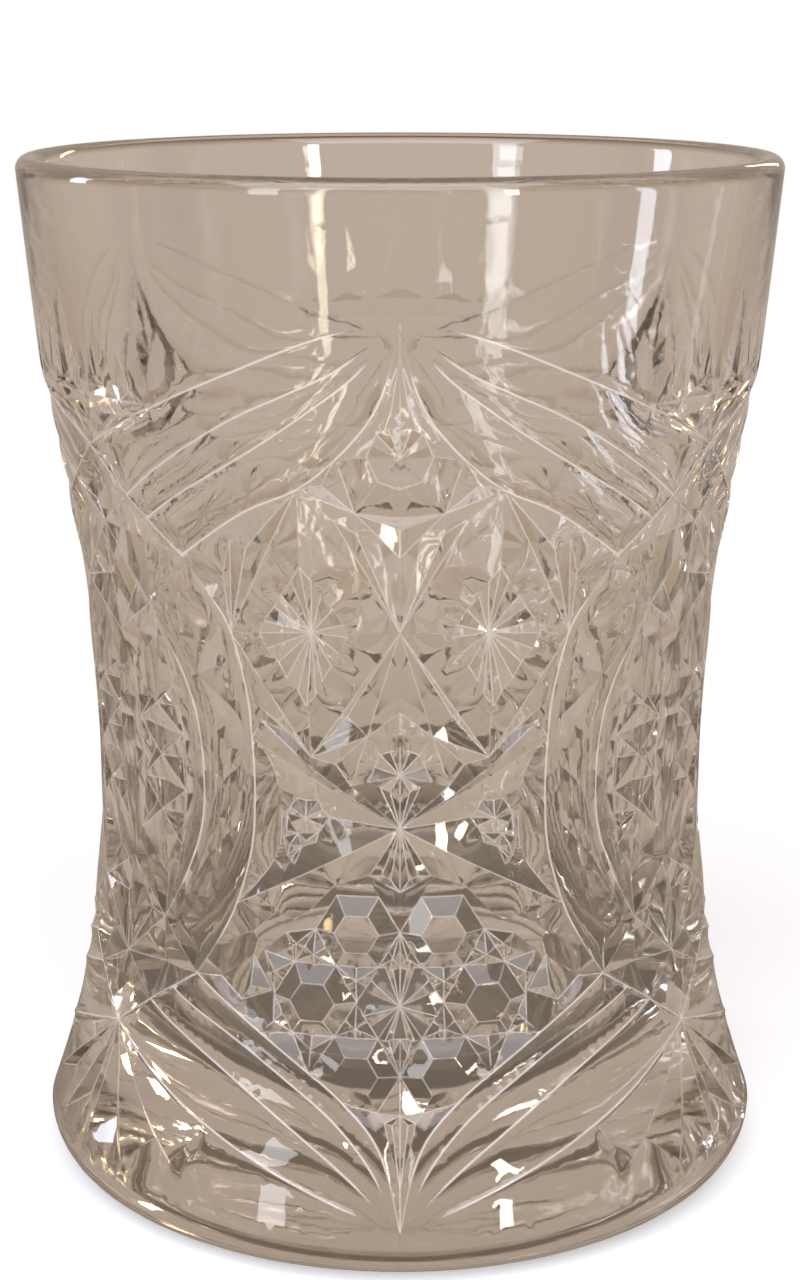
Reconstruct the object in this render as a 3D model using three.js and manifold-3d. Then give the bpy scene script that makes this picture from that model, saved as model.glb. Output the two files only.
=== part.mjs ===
// A whiskey tumbler in pressed glass: a waisted body with a flared solid foot, a plain rim band,
// and a cut-look pattern of three interlaced pointed ovals.
//
// Units are millimetres, +Z is up, and the origin is the centre of the resting ring.
// The body is a turned profile. The pattern's main lines are grooves swept along the outer wall.

import * as THREE from 'three';
import { mergeVertices } from 'three/addons/utils/BufferGeometryUtils.js';
import Module from 'manifold-3d';

// ---------------------------------------------------------------- driving dimensions (mm)

const HEIGHT = 100.0; // resting ring to the top of the lip
const RIM_RADIUS = 36.3; // outside, at the lip
const SHOULDER_RADIUS = 34.7; // outside, where the plain rim band meets the pattern
const WAIST_RADIUS = 30.1; // outside, at the narrowest place
const FOOT_RADIUS = 36.1; // outside, at the widest place of the foot

const RIM_BAND = 19.0; // height of the plain band under the lip
const WAIST_HEIGHT = 42.0; // height of the narrowest place
const FOOT_SWELL = 4.8; // height of the foot's widest place
const RESTING_RING_RADIUS = 31.4; // outer edge of the flat ring it stands on
const RESTING_RING_WIDTH = 4.4;
const UNDERSIDE_RISE = 1.8; // how far the underside is hollowed at its centre

const LIP_THICKNESS = 2.4; // glass at the lip
const SHOULDER_WALL = 3.5; // glass at the shoulder
const WAIST_WALL = 4.4; // glass at the waist
const FLOOR_THICKNESS = 13.0; // glass under the middle of the cup
const CUP_CORNER = 6.0; // radius between the cup's wall and its floor
const PLUNGER_DRAFT = 2.4; // how much the cup narrows from the waist to its floor

// ---------------------------------------------------------------- pattern

const PANELS = 3; // ovals around the body
const PATTERN_RISE = 7.2; // how far the ovals' upper points reach over the shoulder
const PATTERN_CLEARANCE = 0.6; // from the foot's widest place up to the ovals' lower points
const GROOVE_RADIUS = 0.95; // radius of the grooving wheel's section
const GROOVE_DEPTH = 0.55; // how deep the groove goes into the outer wall

// ---------------------------------------------------------------- mesh fineness

const SEGMENTS_AROUND = 42;
const GROOVE_SIDES = 4;

const shoulderHeight = HEIGHT - RIM_BAND;
const patternTop = shoulderHeight + PATTERN_RISE;
const patternFoot = FOOT_SWELL + PATTERN_CLEARANCE;
const patternMiddle = (patternTop + patternFoot) / 2;
const patternHalf = (patternTop - patternFoot) / 2;
const lipRadius = LIP_THICKNESS / 2;
const bandTop = HEIGHT - lipRadius;
const panelAngle = 360 / PANELS;

// ---------------------------------------------------------------- outer wall

// Outside radius at height z, above the foot's widest place.
function outerRadius(z) {
  if (z >= shoulderHeight) {
    const up = (z - shoulderHeight) / (bandTop - shoulderHeight);
    return SHOULDER_RADIUS + (RIM_RADIUS - SHOULDER_RADIUS) * up;
  }
  if (z >= WAIST_HEIGHT) {
    const up = (z - WAIST_HEIGHT) / (shoulderHeight - WAIST_HEIGHT);
    return WAIST_RADIUS + (SHOULDER_RADIUS - WAIST_RADIUS) * up ** 1.7;
  }
  const down = (WAIST_HEIGHT - z) / (WAIST_HEIGHT - FOOT_SWELL);
  return WAIST_RADIUS + (FOOT_RADIUS - WAIST_RADIUS) * down ** 2.1;
}

// Inside radius of the cup at height z, above its corner: never wider lower down,
// because the plunger that pressed it had to come out.
function cupRadius(z) {
  const atLip = RIM_RADIUS - LIP_THICKNESS;
  const atShoulder = SHOULDER_RADIUS - SHOULDER_WALL;
  const atWaist = WAIST_RADIUS - WAIST_WALL;
  if (z >= shoulderHeight) {
    return atShoulder + (atLip - atShoulder) * (z - shoulderHeight) / (bandTop - shoulderHeight);
  }
  if (z >= WAIST_HEIGHT) {
    return atWaist + (atShoulder - atWaist) * (z - WAIST_HEIGHT) / (shoulderHeight - WAIST_HEIGHT);
  }
  const down = (WAIST_HEIGHT - z) / (WAIST_HEIGHT - FLOOR_THICKNESS);
  return atWaist - PLUNGER_DRAFT * down;
}

// ---------------------------------------------------------------- profile of the turned body

// A quarter or half turn from one angle to another, as points; angles in degrees.
function arc(centreX, centreY, radiusX, radiusY, from, to, steps) {
  const points = [];
  for (let i = 0; i <= steps; i += 1) {
    const angle = THREE.MathUtils.degToRad(from + (to - from) * i / steps);
    points.push([centreX + radiusX * Math.cos(angle), centreY + radiusY * Math.sin(angle)]);
  }
  return points;
}

function heightsBetween(low, high, steps) {
  return Array.from({ length: steps + 1 }, (_, i) => low + (high - low) * i / steps);
}

function bodyProfile() {
  const ringInner = RESTING_RING_RADIUS - RESTING_RING_WIDTH;
  const footWidth = FOOT_RADIUS - RESTING_RING_RADIUS;
  const cornerHeight = FLOOR_THICKNESS + CUP_CORNER;
  const cornerCentre = cupRadius(cornerHeight) - CUP_CORNER;

  const underside = [[0, UNDERSIDE_RISE], [ringInner * 0.5, UNDERSIDE_RISE * 0.75], [ringInner, 0]];
  const footRound = arc(RESTING_RING_RADIUS, FOOT_SWELL, footWidth, FOOT_SWELL, -90, 0, 4);
  const footToWaist = heightsBetween(FOOT_SWELL, WAIST_HEIGHT, 7).slice(1);
  const waistToShoulder = heightsBetween(WAIST_HEIGHT, shoulderHeight, 6).slice(1);
  const outerWall = [...footToWaist, ...waistToShoulder].map((z) => [outerRadius(z), z]);
  const lip = arc(RIM_RADIUS - lipRadius, bandTop, lipRadius, lipRadius, 0, 180, 4);
  const cupWall = [shoulderHeight, WAIST_HEIGHT, cornerHeight].map((z) => [cupRadius(z), z]);
  const cupCorner = arc(cornerCentre, cornerHeight, CUP_CORNER, CUP_CORNER, 0, -90, 4).slice(1);

  const points = [...underside, ...footRound, ...outerWall, ...lip, ...cupWall, ...cupCorner];
  points.push([0, FLOOR_THICKNESS]);
  return points.map(([radius, z]) => new THREE.Vector2(radius, z));
}

// ---------------------------------------------------------------- lines on the outer wall

// A smooth line over the outer wall. Its stations are [degrees around, height], where a height
// of 1 is the ovals' upper point, 0 the pattern's middle and -1 the lower point.
class WallLine extends THREE.Curve {
  constructor(stations, turn, hand) {
    super();
    this.turn = turn;
    this.hand = hand;
    this.path = new THREE.CatmullRomCurve3(stations.map(([a, v]) => new THREE.Vector3(a / 60, v, 0)));
  }

  getPoint(t, target = new THREE.Vector3()) {
    const place = this.path.getPoint(t);
    const angle = THREE.MathUtils.degToRad(this.turn + this.hand * place.x * 60);
    const z = patternMiddle + patternHalf * place.y;
    const radius = outerRadius(z) + GROOVE_RADIUS - GROOVE_DEPTH;
    return target.set(radius * Math.cos(angle), radius * Math.sin(angle), z);
  }
}

// The upper half of an oval's edge, from its point down to its widest place.
const OVAL_EDGE = [[0, 1], [24, 0.885], [47, 0.75], [60, 0.68], [71, 0.575], [83, 0.47], [92, 0.28], [94.5, 0]];
const INNER_EDGE = [[0, 0.96], [1.5, 0.9], [4.5, 0.785], [10, 0.69], [24, 0.585], [37, 0.475], [48, 0.35],
  [60, 0.22], [64.5, 0]];

// Figure inside each panel: the hourglass, the kites beside it and the large X below it.
const PANEL_FIGURE = [
  [[15.3, 0.63], [0.3, 0.33]],
  [[0.3, 0.33], [14.6, 0.05]],
  [[15.3, 0.63], [28.3, 0.31]],
  [[28.3, 0.31], [14.6, 0.05]],
  [[24.3, 0.115], [0.3, -0.105]],
  [[0.3, -0.105], [28.6, -0.345]],
];

// ---------------------------------------------------------------- booleans

const wasm = await Module();
wasm.setup();

function toSolid(geometry) {
  const bare = geometry.clone();
  bare.deleteAttribute('normal');
  bare.deleteAttribute('uv');
  const merged = mergeVertices(bare, 1e-5);
  const mesh = new wasm.Mesh({
    numProp: 3,
    vertProperties: new Float32Array(merged.attributes.position.array),
    triVerts: new Uint32Array(merged.index.array),
  });
  return new wasm.Manifold(mesh);
}

function toGeometry(solid) {
  const mesh = solid.getMesh();
  const geometry = new THREE.BufferGeometry();
  geometry.setAttribute('position', new THREE.BufferAttribute(mesh.vertProperties, 3));
  geometry.setIndex(new THREE.BufferAttribute(mesh.triVerts, 1));
  geometry.computeVertexNormals();
  return geometry;
}

// ---------------------------------------------------------------- pieces

function turnedBody() {
  const geometry = new THREE.LatheGeometry(bodyProfile(), SEGMENTS_AROUND);
  geometry.rotateX(Math.PI / 2);
  return toSolid(geometry);
}

function groove(line, steps) {
  const section = new THREE.Shape();
  for (let i = 0; i < GROOVE_SIDES; i += 1) {
    const angle = (i + 0.5) * 2 * Math.PI / GROOVE_SIDES;
    const x = GROOVE_RADIUS * Math.cos(angle);
    const y = GROOVE_RADIUS * Math.sin(angle);
    if (i === 0) section.moveTo(x, y);
    else section.lineTo(x, y);
  }
  section.closePath();
  return toSolid(new THREE.ExtrudeGeometry(section, { steps, extrudePath: line, bevelEnabled: false }));
}

// An oval's whole edge on one side, from its upper point to its lower one.
function wholeEdge(upperHalf) {
  const lowerHalf = upperHalf.slice(0, -1).reverse().map(([angle, height]) => [angle, -height]);
  return [...upperHalf, ...lowerHalf];
}

function glassBody() {
  let body = turnedBody();
  for (let panel = 0; panel < PANELS; panel += 1) {
    const turn = -90 + panel * panelAngle;
    for (const hand of [1, -1]) {
      body = body.subtract(groove(new WallLine(wholeEdge(OVAL_EDGE), turn, hand), 16));
      body = body.subtract(groove(new WallLine(wholeEdge(INNER_EDGE), turn, hand), 16));
      for (const stations of PANEL_FIGURE) {
        body = body.subtract(groove(new WallLine(stations, turn, hand), 2));
      }
    }
  }
  return toGeometry(body);
}

const clearGlass = new THREE.MeshStandardMaterial({ color: '#d8d2c6', roughness: 0.04, metalness: 0.0 });

const group = new THREE.Group();
const body = new THREE.Mesh(glassBody(), clearGlass);
body.name = 'glass_body';
group.add(body);

export default group;
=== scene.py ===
"""A pressed-glass whiskey tumbler with a cut-look pattern, standing on a plain pale floor.

The tumbler is one casting, so it is one piece. Its pattern repeats six times round the body: a
half panel, its mirror image, and the pair turned three times. The half panel is drawn once as lines
on the unrolled outer wall, and Geometry Nodes make the rest.
"""

import math

import bmesh
import bpy
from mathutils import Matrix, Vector
from mathutils.bvhtree import BVHTree
from mathutils.geometry import delaunay_2d_cdt, intersect_point_line
from mathutils.kdtree import KDTree


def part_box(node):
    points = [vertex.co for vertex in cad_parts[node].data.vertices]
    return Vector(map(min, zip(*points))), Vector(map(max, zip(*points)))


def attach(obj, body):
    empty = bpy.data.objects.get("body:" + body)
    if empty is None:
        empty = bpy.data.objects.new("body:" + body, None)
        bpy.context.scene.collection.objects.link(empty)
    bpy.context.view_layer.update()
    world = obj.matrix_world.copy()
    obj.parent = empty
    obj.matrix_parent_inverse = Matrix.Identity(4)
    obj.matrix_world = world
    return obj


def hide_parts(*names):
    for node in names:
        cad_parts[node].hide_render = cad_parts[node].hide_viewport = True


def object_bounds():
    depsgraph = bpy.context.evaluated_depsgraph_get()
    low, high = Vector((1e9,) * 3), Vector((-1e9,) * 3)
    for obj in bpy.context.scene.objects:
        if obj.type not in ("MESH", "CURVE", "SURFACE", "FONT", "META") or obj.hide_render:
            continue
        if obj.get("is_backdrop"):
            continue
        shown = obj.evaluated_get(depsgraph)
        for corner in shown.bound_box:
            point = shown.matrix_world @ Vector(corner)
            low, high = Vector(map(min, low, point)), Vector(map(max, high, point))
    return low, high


bl_info = {
    "name": "Pressed-glass tumbler",
    "version": (1, 0, 0),
    "blender": (4, 5, 0),
    "location": "View3D > Sidebar > Tumbler",
    "description": "Builds a pressed-glass whiskey tumbler and its stage",
    "category": "Object",
}

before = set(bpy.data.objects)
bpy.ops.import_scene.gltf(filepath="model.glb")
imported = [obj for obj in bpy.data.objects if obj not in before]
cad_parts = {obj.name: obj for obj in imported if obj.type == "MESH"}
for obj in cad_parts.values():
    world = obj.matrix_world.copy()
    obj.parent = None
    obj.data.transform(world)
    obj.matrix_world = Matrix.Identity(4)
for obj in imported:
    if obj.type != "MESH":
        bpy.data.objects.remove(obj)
CAD_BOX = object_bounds()
BODY_LOW, BODY_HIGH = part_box("glass_body")

MM = 0.001
PANELS = 3
CELL_DEGREES = 180 / PANELS  # one half panel
CELL_COLUMNS = 48  # columns of the plain glass across one half panel
WELD = 0.01 * MM
FLOOR_RADIUS = 0.16
FLOOR_DROP = 0.2 * MM  # keeps the floor clear of the resting ring
CAMERA_AT = (0.0, -0.239, 0.1141)
CAMERA_DOWN = 14.57  # degrees
CAMERA_LENS = 69.4


# ---- settings


def length(name, description, millimetres):
    """A length that the user may change."""
    return bpy.props.FloatProperty(
        name=name,
        description=description,
        default=millimetres * MM,
        subtype="DISTANCE",
        unit="LENGTH",
    )


def hex_code(name, description, default):
    """A colour that the user may change, as sRGB hex."""
    return bpy.props.StringProperty(name=name, description=description, default=default)


class TumblerSizes(bpy.types.PropertyGroup):
    """The turned shape under the pattern."""

    rim_radius: length(
        "Rim radius", "Outside radius at the lip", (BODY_HIGH.x - BODY_LOW.x) / 2 / MM + 0.1
    )
    height: length(
        "Height", "From the resting ring to the top of the lip", (BODY_HIGH.z - BODY_LOW.z) / MM
    )
    shoulder_radius: length(
        "Shoulder radius", "Outside radius where the plain rim band meets the pattern", 34.7
    )
    waist_radius: length("Waist radius", "Outside radius at the narrowest place", 30.1)
    foot_radius: length("Foot radius", "Outside radius at the widest place of the foot", 36.1)
    rim_band: length("Rim band", "Height of the plain band under the lip", 19.0)
    lip_thickness: length("Lip thickness", "Glass at the lip", 2.4)
    floor_thickness: length("Floor thickness", "Glass under the middle of the cup", 13.0)
    relief: bpy.props.FloatProperty(
        name="Relief",
        description="How deep the pattern is pressed, as a share of its drawn depth",
        default=1.0,
        subtype="FACTOR",
    )


class TumblerLook(bpy.types.PropertyGroup):
    """The glass and the room round it."""

    # also the colour of the painted highlights on the edges and bead tops
    glass_colour: hex_code("Glass colour", "Colour of the glass where light enters it", "#fefdfb")
    floor_colour: hex_code("Floor colour", "Colour of the pale floor", "#eaeef2")
    room_colour: hex_code("Room colour", "Warm grey of the room that the glass shows", "#beafa3")


# ---- turned shape


class Profile:
    """The tumbler's section, in millimetres: radii by height, and the plain rows of glass."""

    foot_swell = 4.8
    waist_height = 42.0
    ring_radius = 31.4
    ring_width = 4.4
    underside_rise = 1.8
    shoulder_wall = 3.5
    waist_wall = 4.4
    cup_corner = 6.0
    plunger_draft = 2.4

    def __init__(self, sizes):
        self.height = sizes.height / MM
        self.rim = sizes.rim_radius / MM
        self.shoulder = sizes.shoulder_radius / MM
        self.waist = sizes.waist_radius / MM
        self.foot = sizes.foot_radius / MM
        self.lip = sizes.lip_thickness / MM
        self.floor = sizes.floor_thickness / MM
        self.shoulder_height = self.height - sizes.rim_band / MM
        self.band_top = self.height - self.lip / 2

    def outside(self, z):
        """Outside radius at height z, above the foot's widest place."""
        if z >= self.shoulder_height:
            up = (z - self.shoulder_height) / (self.band_top - self.shoulder_height)
            return self.shoulder + (self.rim - self.shoulder) * up
        if z >= self.waist_height:
            up = (z - self.waist_height) / (self.shoulder_height - self.waist_height)
            return self.waist + (self.shoulder - self.waist) * up**1.7
        down = (self.waist_height - z) / (self.waist_height - self.foot_swell)
        return self.waist + (self.foot - self.waist) * down**2.1

    def inside(self, z):
        """Inside radius of the cup at height z. It never widens downwards: the plunger came out."""
        shoulder = self.shoulder - self.shoulder_wall
        waist = self.waist - self.waist_wall
        if z >= self.shoulder_height:
            up = (z - self.shoulder_height) / (self.band_top - self.shoulder_height)
            return shoulder + (self.rim - self.lip - shoulder) * up
        if z >= self.waist_height:
            up = (z - self.waist_height) / (self.shoulder_height - self.waist_height)
            return waist + (shoulder - waist) * up
        down = (self.waist_height - z) / (self.waist_height - self.floor)
        return waist - self.plunger_draft * down

    def rows_below(self):
        """Rows from the centre of the underside out and up to the foot's widest place."""
        inner = self.ring_radius - self.ring_width
        rows = []
        for i in range(9):
            radius = inner * i / 8
            rows.append((radius, self.underside_rise * (1 - (i / 8) ** 2)))
        rows.append((inner + 0.4, 0.0))
        rows.append((self.ring_radius - 0.4, 0.0))
        width = self.foot - self.ring_radius
        rows += arc(self.ring_radius, self.foot_swell, width, self.foot_swell, -88, 0, 10)
        return rows

    def rows_above(self, start):
        """Rows from height start up the rim band, over the lip, and down the cup to its centre."""
        near_lip = self.band_top - 0.4
        rows = [(self.outside(z), z) for z in [*spread(start, near_lip, 3), self.band_top]]
        half = self.lip / 2
        rows += arc(self.rim - half, self.band_top, half, half, 0, 180, 10)[1:]
        corner_top = self.floor + self.cup_corner
        for z in spread(near_lip, corner_top, 30):
            rows.append((self.inside(z), z))
        centre = self.inside(corner_top) - self.cup_corner
        rows += arc(centre, corner_top, self.cup_corner, self.cup_corner, 0, -90, 8)[1:]
        rows += [(radius, self.floor) for radius in spread(centre, 0.0, 6)[1:]]
        return rows


def spread(first, last, steps):
    """Evenly spaced numbers from first to last."""
    return [first + (last - first) * i / steps for i in range(steps + 1)]


def arc(centre_x, centre_y, radius_x, radius_y, start, end, steps):
    """Points along part of an ellipse, angles in degrees."""
    points = []
    for turn in spread(math.radians(start), math.radians(end), steps):
        points.append((centre_x + radius_x * math.cos(turn), centre_y + radius_y * math.sin(turn)))
    return points


# ---- relief

# Every place of the pattern is (degrees from the panel's middle, height in mm), on the half panel
# from 0 to 60 degrees. Depths are millimetres under the outer wall.

WALL_WIDTH = 0.55  # mm of wall for each degree, near the waist
FINE = 0.9  # mm between the points along a line
FILL = 0.95  # mm between the points that fill a facet
BEAD = 0.42  # half the width of the fine bead along a ridge
BEAD_SINK = 0.13  # how far the glass lies below the bead on both its sides
RIDGE = 0.0
SOFT_RIDGE = 0.12
VALLEY = 0.95
PANEL_SINK = 0.8  # how far the wall sinks between panels
RELIEF_TOP = 92.0  # the rim band is plain above this height
BEAD_CLEAR = 0.16  # from a bead's foot to the first row of a flute
FULL_FLUTE = 2.6  # a flute narrower than this is shallower
BEADS_MEET = 3.6  # round an apex, where the beads run together
HIGHLIGHT_FROM = 3.8  # from an apex to where the painted highlight on a bead's top begins
ON_LINE = 0.04  # how near a point is to the line that it lies on


class Relief:
    """Lines, facets and fluted bands, gathered and then triangulated together."""

    def __init__(self):
        self.places = []
        self.depths = []
        self.lines = []
        self.creased = []
        self.ridges = []
        self.known = {}

    def place(self, at, depth):
        """The number of the point at this place, new or already there."""
        key = (round(at[0], 2), round(at[1], 2))
        if key not in self.known:
            self.known[key] = len(self.places)
            self.places.append(Vector((at[0] * WALL_WIDTH, at[1])))
            self.depths.append(depth)
        return self.known[key]

    def depth_at(self, at, otherwise):
        """The depth already given to a place, or another."""
        number = self.known.get((round(at[0], 2), round(at[1], 2)))
        return otherwise if number is None else self.depths[number]

    def line(self, places, depth=VALLEY, creased=True):
        """A line through these places, cut into fine steps; its depth runs evenly between them."""
        for start, end in zip(places, places[1:]):
            low, high = self.depth_at(start, depth), self.depth_at(end, depth)
            across = Vector(((end[0] - start[0]) * WALL_WIDTH, end[1] - start[1])).length
            steps = max(1, math.ceil(across / FINE - 0.2))
            numbers = []
            for i in range(steps + 1):
                share = i / steps
                numbers.append(self.place(blend(start, end, share), low + (high - low) * share))
            self.chain(numbers, creased)

    def chain(self, numbers, creased):
        """Lines between points that follow each other."""
        for pair in zip(numbers, numbers[1:]):
            if pair[0] != pair[1]:
                self.lines.append(pair)
                self.creased.append(creased)

    def pin(self, places, depth):
        """Gives these places one depth, before lines pass through them."""
        for at in places:
            self.place(at, depth)

    def settle(self, depths):
        """Gives each of these places its own depth, before lines pass through them."""
        for at, depth in depths.items():
            self.place(at, depth)

    def ring(self, corners, depth):
        """A closed outline at one depth."""
        self.pin(corners, depth)
        self.line([*corners, corners[0]])

    def join(self, *paths):
        """Lines between places that mostly have their depths already."""
        for path in paths:
            self.line(path)

    def rays(self, depths, before=(), after=()):
        """Lines through each of these places in turn, from what is before it to what is after."""
        for at, depth in depths.items():
            self.place(at, depth)
            self.line([*before, at, *after])

    def facets(self, corners, peak, depth):
        """Flat facets from each corner of an outline to one peak."""
        self.place(peak, depth)
        self.join(*([corner, peak] for corner in corners))

    def flute(self, upper, lower, sag, rows):
        """A hollow band between two lines of equally many places."""
        for row in range(1, rows):
            share = row / rows
            hollow = BEAD_SINK + sag * (1 - (2 * share - 1) ** 2)
            for start, end in zip(upper, lower):
                across = flat_length(start, end)
                if min(share, 1 - share) * across > BEAD + BEAD_CLEAR:
                    deep = hollow * min(1.0, across / FULL_FLUTE)
                    self.place(blend(start, end, share), deep)

    def beads(self, ridge, apexes=()):
        """Sinks the glass on both sides of a ridge, so that the ridge stands as a fine bead."""
        centre = evenly(ridge, max(4, round(whole_length(ridge) / 1.1)))
        self.ridges.append((ridge, apexes))
        for side in (-1, 1):
            shoulder = []
            for before, at, after in zip(centre, centre[1:], centre[2:]):
                across, up = (after[0] - before[0]) * WALL_WIDTH, after[1] - before[1]
                reach = side * BEAD / math.hypot(across, up)
                beside = (at[0] - up * reach / WALL_WIDTH, at[1] + across * reach)
                clear = all(flat_length(at, apex) > BEADS_MEET for apex in apexes)
                if clear and 0.4 < beside[0] < CELL_DEGREES - 0.4:
                    shoulder.append(beside)
            self.line(shoulder, BEAD_SINK, creased=False)

    def brightness(self, point):
        """How strong the painted highlight on the bead is at this flat point: none beside it, and
        fading where beads meet.
        """
        place = (point.x / WALL_WIDTH, point.y)
        for ridge, apexes in self.ridges:
            clear = min([flat_length(place, apex) for apex in apexes], default=9.0)
            if clear < HIGHLIGHT_FROM:
                continue
            for start, end in zip(ridge, ridge[1:]):
                a, b = (Vector((q[0] * WALL_WIDTH, q[1])) for q in (start, end))
                nearest, share = intersect_point_line(point, a, b)
                if -0.01 <= share <= 1.01 and (nearest - point).length < ON_LINE:
                    return min(1.0, 0.6 + (clear - HIGHLIGHT_FROM) / 4)
        return 0.0

    def daisy(self, centre, corners, rays, centre_depth, ray_depth, notch_depth):
        """A rayed button: its rays are ridges from the centre, with notches between them."""
        self.place(centre, centre_depth)
        outline = [*corners, corners[0]]
        rim = evenly(outline, 2 * rays)[:-1]
        for i, at in enumerate(rim):
            self.place(at, ray_depth if i % 2 == 0 else notch_depth)
        self.line([*rim, rim[0]])
        self.join(*([centre, at] for at in rim))

    def triangulate(self, low, high):
        """Triangles over the whole half panel, with the fine filling points."""
        width = CELL_DEGREES * WALL_WIDTH
        for row in (low, high):
            edge = [(CELL_DEGREES * i / CELL_COLUMNS, row) for i in range(CELL_COLUMNS + 1)]
            self.chain([self.place(at, RIDGE) for at in edge], False)
        coarse, triangles, depths, _ = self.cut(self.places, self.depths)
        surface = BVHTree.FromPolygons([(*p, -d) for p, d in zip(coarse, depths)], triangles)
        finder = KDTree(len(coarse))
        for i, point in enumerate(coarse):
            finder.insert((*point, 0.0), i)
        finder.balance()
        places, deep = list(self.places), list(self.depths)
        rise = FILL * math.sqrt(3) / 2
        for row in range(int((high - low) / rise)):
            z = low + (row + 0.5) * rise
            for column in range(int(width / FILL) + 1):
                x = (column + 0.25 + 0.5 * (row % 2)) * FILL
                if x > width - 0.4 * FILL or z > high - 0.4 * FILL:
                    continue
                if finder.find((x, z, 0.0))[2] < 0.5 * FILL:
                    continue
                hit = surface.ray_cast(Vector((x, z, 9.0)), Vector((0.0, 0.0, -1.0)))[0]
                if hit is not None:
                    places.append(Vector((x, z)))
                    deep.append(-hit.z)
        return self.cut(places, deep)

    def cut(self, places, depths):
        """One constrained Delaunay triangulation, with depths for points where lines cross."""
        out = delaunay_2d_cdt(places, self.lines, [], 0, 1e-4)
        points, edges, triangles, from_points, from_edges = out[0], out[1], out[2], out[3], out[4]
        deep = []
        for i, sources in enumerate(from_points):
            deep.append(depths[sources[0]] if sources else None)
        for edge, sources in zip(edges, from_edges):
            for end in edge:
                if deep[end] is None and sources:
                    a, b = self.lines[sources[0]]
                    whole = max(1e-6, (places[b] - places[a]).length)
                    share = (points[end] - places[a]).length / whole
                    deep[end] = depths[a] + (depths[b] - depths[a]) * share
        deep = [RIDGE if d is None else d for d in deep]
        creases = set()
        for edge, sources in zip(edges, from_edges):
            if any(s < len(self.creased) and self.creased[s] for s in sources):
                creases.add(tuple(sorted(edge)))
        return points, triangles, deep, creases


def flat_length(start, end):
    """Length on the unrolled wall between two places."""
    return math.hypot((end[0] - start[0]) * WALL_WIDTH, end[1] - start[1])


def whole_length(line):
    """Length of a line of straight stretches."""
    return sum(flat_length(p, q) for p, q in zip(line, line[1:]))


def blend(start, end, share):
    """The place this share of the way from start to end."""
    return (start[0] + (end[0] - start[0]) * share, start[1] + (end[1] - start[1]) * share)


def centroid(corners):
    """The place in the middle of these corners."""
    return tuple(sum(values) / len(corners) for values in zip(*corners))


def along(outline, distance):
    """The place this far along a line of straight stretches."""
    for start, end in zip(outline, outline[1:]):
        length = flat_length(start, end)
        if distance <= length:
            return blend(start, end, distance / length)
        distance -= length
    return outline[-1]


def curve(stations, steps=5):
    """A smooth line through every station, as a list of places."""
    padded = [stations[0], *stations, stations[-1]]
    places = []
    for before, start, end, after in zip(padded, padded[1:], padded[2:], padded[3:]):
        for i in range(steps):
            t = i / steps
            place = []
            for k in range(2):
                pull_in = (end[k] - before[k]) / 2
                pull_out = (after[k] - start[k]) / 2
                value = (2 * t**3 - 3 * t**2 + 1) * start[k] + (t**3 - 2 * t**2 + t) * pull_in
                value += (3 * t**2 - 2 * t**3) * end[k] + (t**3 - t**2) * pull_out
                place.append(value)
            places.append(tuple(place))
    places.append(stations[-1])
    return places


def evenly(places, count):
    """The same line, as this many evenly spaced places."""
    total = whole_length(places)
    return [along(places, total * i / count) for i in range(count)] + [places[-1]]


# Places that several lines share
APEX = (0, 88.2)
CROSS_A = (60, 74.8)
CROSS_B = (60, 67.5)
CROSS_D = (60, 57)
MEET_B = (49.5, 70.9)
MEET_C = (44.5, 69.2)
MEET_D = (37, 66.4)
HEEL = (47, 61)
KITE_TOP = (15.5, 73.5)
KITE_SIDE = (28.5, 59.8)
KITE_FOOT = (15.2, 48.8)
HUB = (0, 60.5)
ARM_TOP = (25.9, 50)
ARM_FOOT = (29.5, 34)
X_HUB = (0, 42.4)
LOW_APEX = (0, 5.6)
LOW_CROSS_A = (60, 18)
LOW_CROSS_B = (60, 25)
LOW_CROSS_D = (60, 34.5)
LOW_MEET_B = (49.5, 22)
LOW_MEET_C = (43.5, 24.2)
LOW_MEET_D = (37.5, 26.4)
LOW_HEEL = (47, 30.5)


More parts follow.
